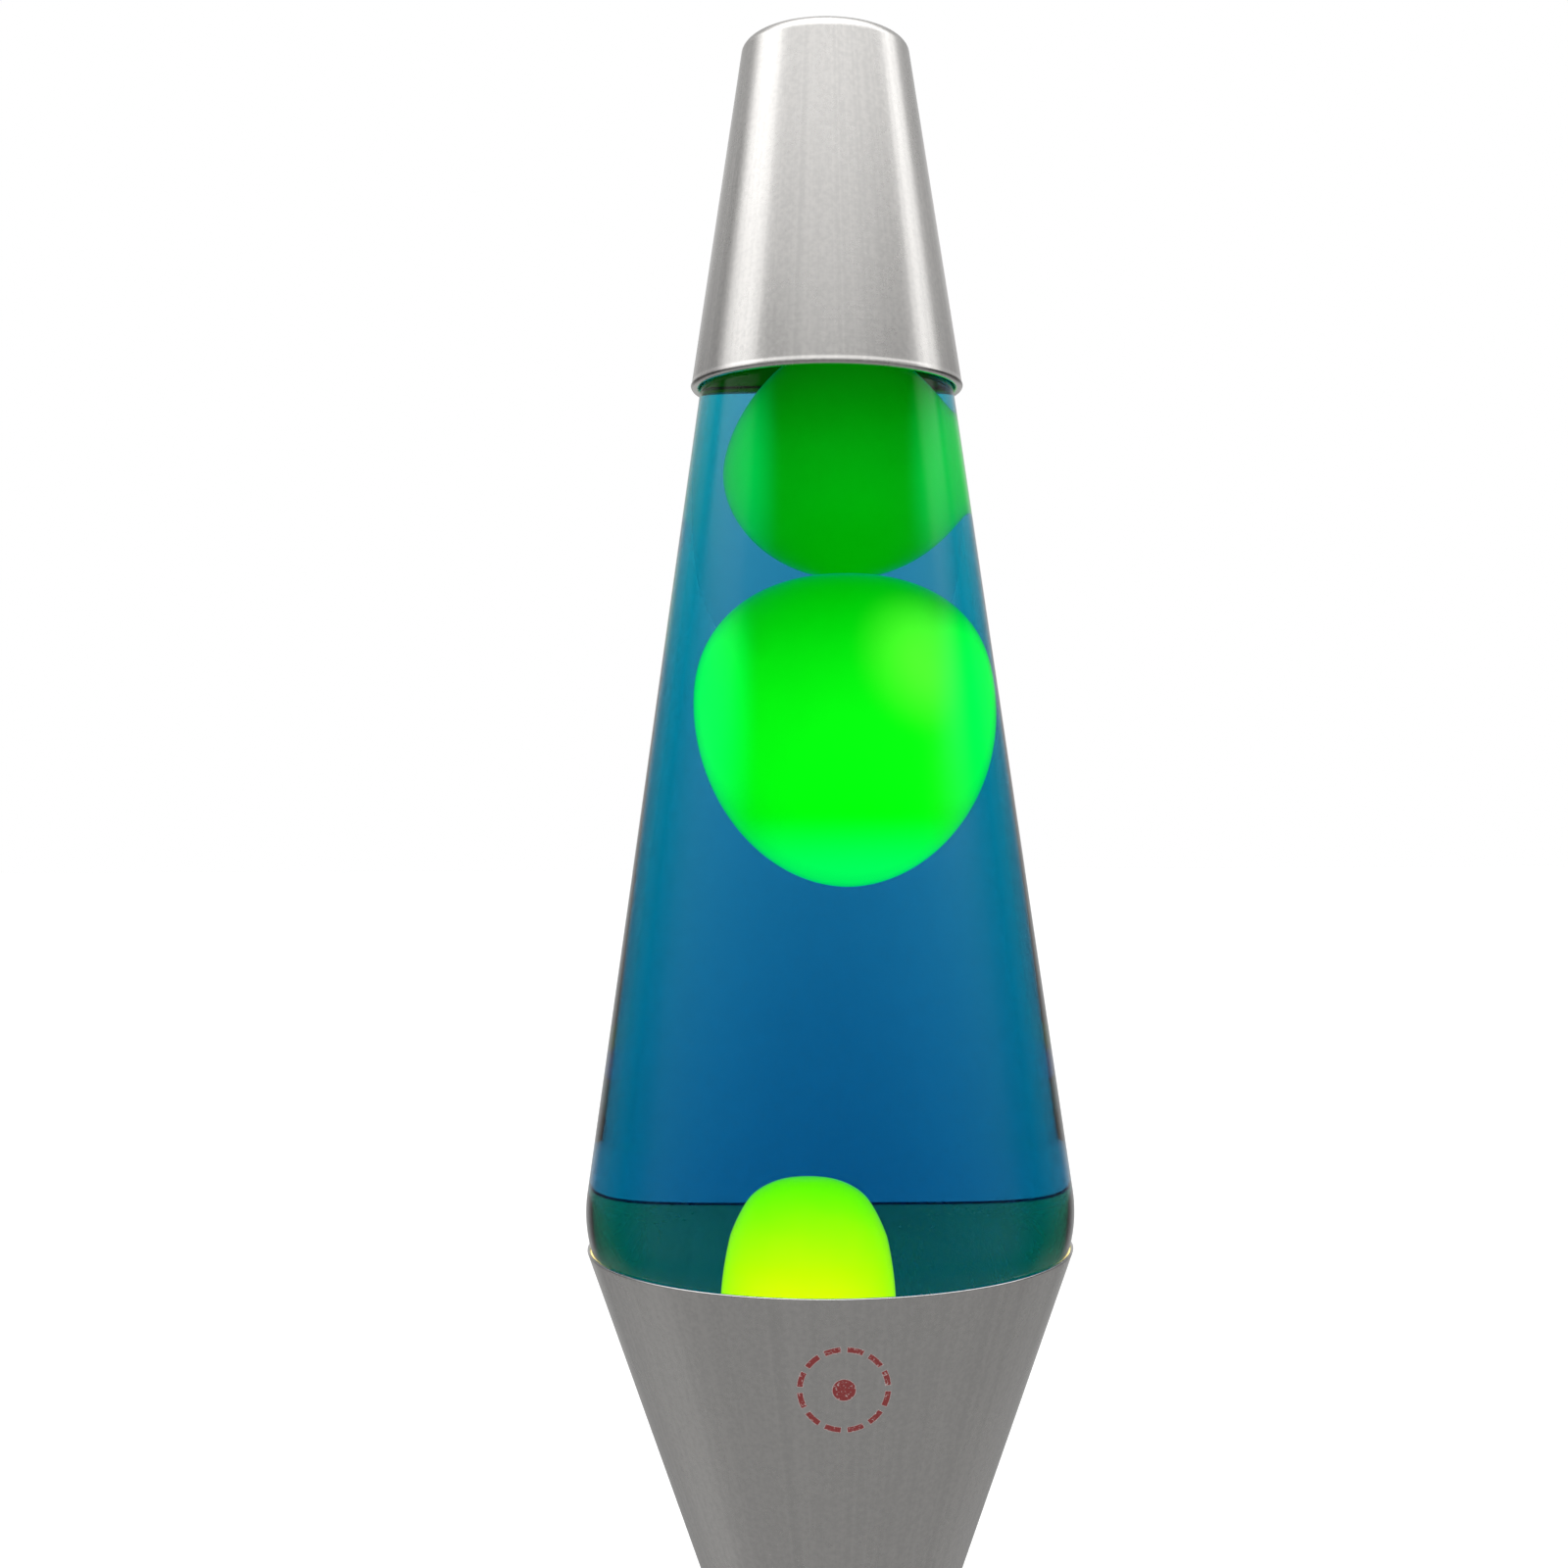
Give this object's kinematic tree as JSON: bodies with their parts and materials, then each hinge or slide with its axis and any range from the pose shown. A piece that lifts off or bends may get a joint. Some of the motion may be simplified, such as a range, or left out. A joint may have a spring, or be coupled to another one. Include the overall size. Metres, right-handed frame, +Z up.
{
  "type": "lava lamp",
  "caption": "Lava lamp: tapered glass globe of tinted liquid and drifting wax on a waisted spun base, with a lift-off cap, crown cap, screw-in bulb and lampholder.",
  "frame": {"origin": "centre of the plane that the rubber feet stand on", "axes": "+Z up along the lamp's axis; the front faces -Y, the cord enters at the back (+Y), +X to the right"},
  "size_m": [0.0982, 0.0982, 0.368],
  "materials": {
    "spun_aluminium": "satin, spun",
    "globe_glass": "clear",
    "blue_liquid": "clear, tinted blue",
    "green_wax": "smooth wax",
    "spring_steel": "drawn wire",
    "tinplate": "pressed tinplate",
    "liner": "soft seal",
    "zinc_steel": "zinc plated",
    "phenolic": "moulded black phenolic",
    "brass": "pressed brass",
    "bulb_glass": "clear thin glass",
    "tungsten": "drawn tungsten",
    "vitrite": "black glass",
    "solder": "soft solder",
    "feet_rubber": "matt",
    "nylon_black": "moulded nylon",
    "nylon_white": "moulded nylon",
    "insulation_brown": "extruded",
    "insulation_blue": "extruded"
  },
  "bodies": {
    "root": {"base_upper_cone": "spun_aluminium", "base_lower_cone": "spun_aluminium", "socket_cup": "zinc_steel", "socket_body": "phenolic", "socket_ring": "phenolic", "socket_screw_shell": "brass", "socket_centre_contact": "brass", "waist_screws": "zinc_steel", "waist_washers": "zinc_steel", "standoffs": "zinc_steel", "base_plate": "zinc_steel", "plate_screws": "zinc_steel", "feet": "feet_rubber", "terminal_block": "nylon_white", "terminal_tubes": "brass", "terminal_screws": "zinc_steel", "block_screw": "zinc_steel", "lead_wire_live": "insulation_brown", "lead_wire_neutral": "insulation_blue", "cord_bushing": "nylon_black"},
    "globe": {"glass_globe": "globe_glass", "liquid": "blue_liquid", "wax_pool": "green_wax", "wire_coil": "spring_steel", "crown_cap": "tinplate", "crown_liner": "liner"},
    "wax_middle": {"wax_blob_middle": "green_wax"},
    "wax_top": {"wax_blob_top": "green_wax"},
    "cap": {"cap_shell": "spun_aluminium"},
    "bulb_end": {"bulb_contact": "solder"},
    "bulb": {"bulb_envelope": "bulb_glass", "bulb_stem": "bulb_glass", "bulb_support_wires": "spring_steel", "bulb_filament": "tungsten", "bulb_screw_shell": "brass", "bulb_insulator": "vitrite"}
  },
  "joints": [
    {"name": "globe_lift", "type": "slide", "parent": "root", "child": "globe", "axis": [0, 0, 1], "range_m": [0, 0.1]},
    {"name": "cap_lift", "type": "slide", "parent": "globe", "child": "cap", "axis": [0, 0, 1], "range_m": [0, 0.09]},
    {"name": "wax_middle_drift", "type": "slide", "parent": "globe", "child": "wax_middle", "axis": [0, 0, 1], "range_m": [-0.05, 0], "deforming": ["liquid"]},
    {"name": "wax_top_drift", "type": "slide", "parent": "globe", "child": "wax_top", "axis": [0, 0, 1], "range_m": [-0.0205, 0], "deforming": ["liquid"]},
    {"name": "bulb_rise", "type": "slide", "parent": "root", "child": "bulb_end", "axis": [0, 0, 1], "range_m": [0, 0.00867]},
    {"name": "bulb_turn", "type": "hinge", "parent": "bulb_end", "child": "bulb", "pos_m": [0, 0, 0.06], "axis": [0, 0, 1], "range_deg": [0, 1080]}
  ],
  "couplings": [
    {"joint": "wax_top_drift", "follows": "wax_middle_drift", "ratio": 0.4},
    {"joint": "bulb_rise", "follows": "bulb_turn", "m_per_rad": 0.00044913}
  ]
}
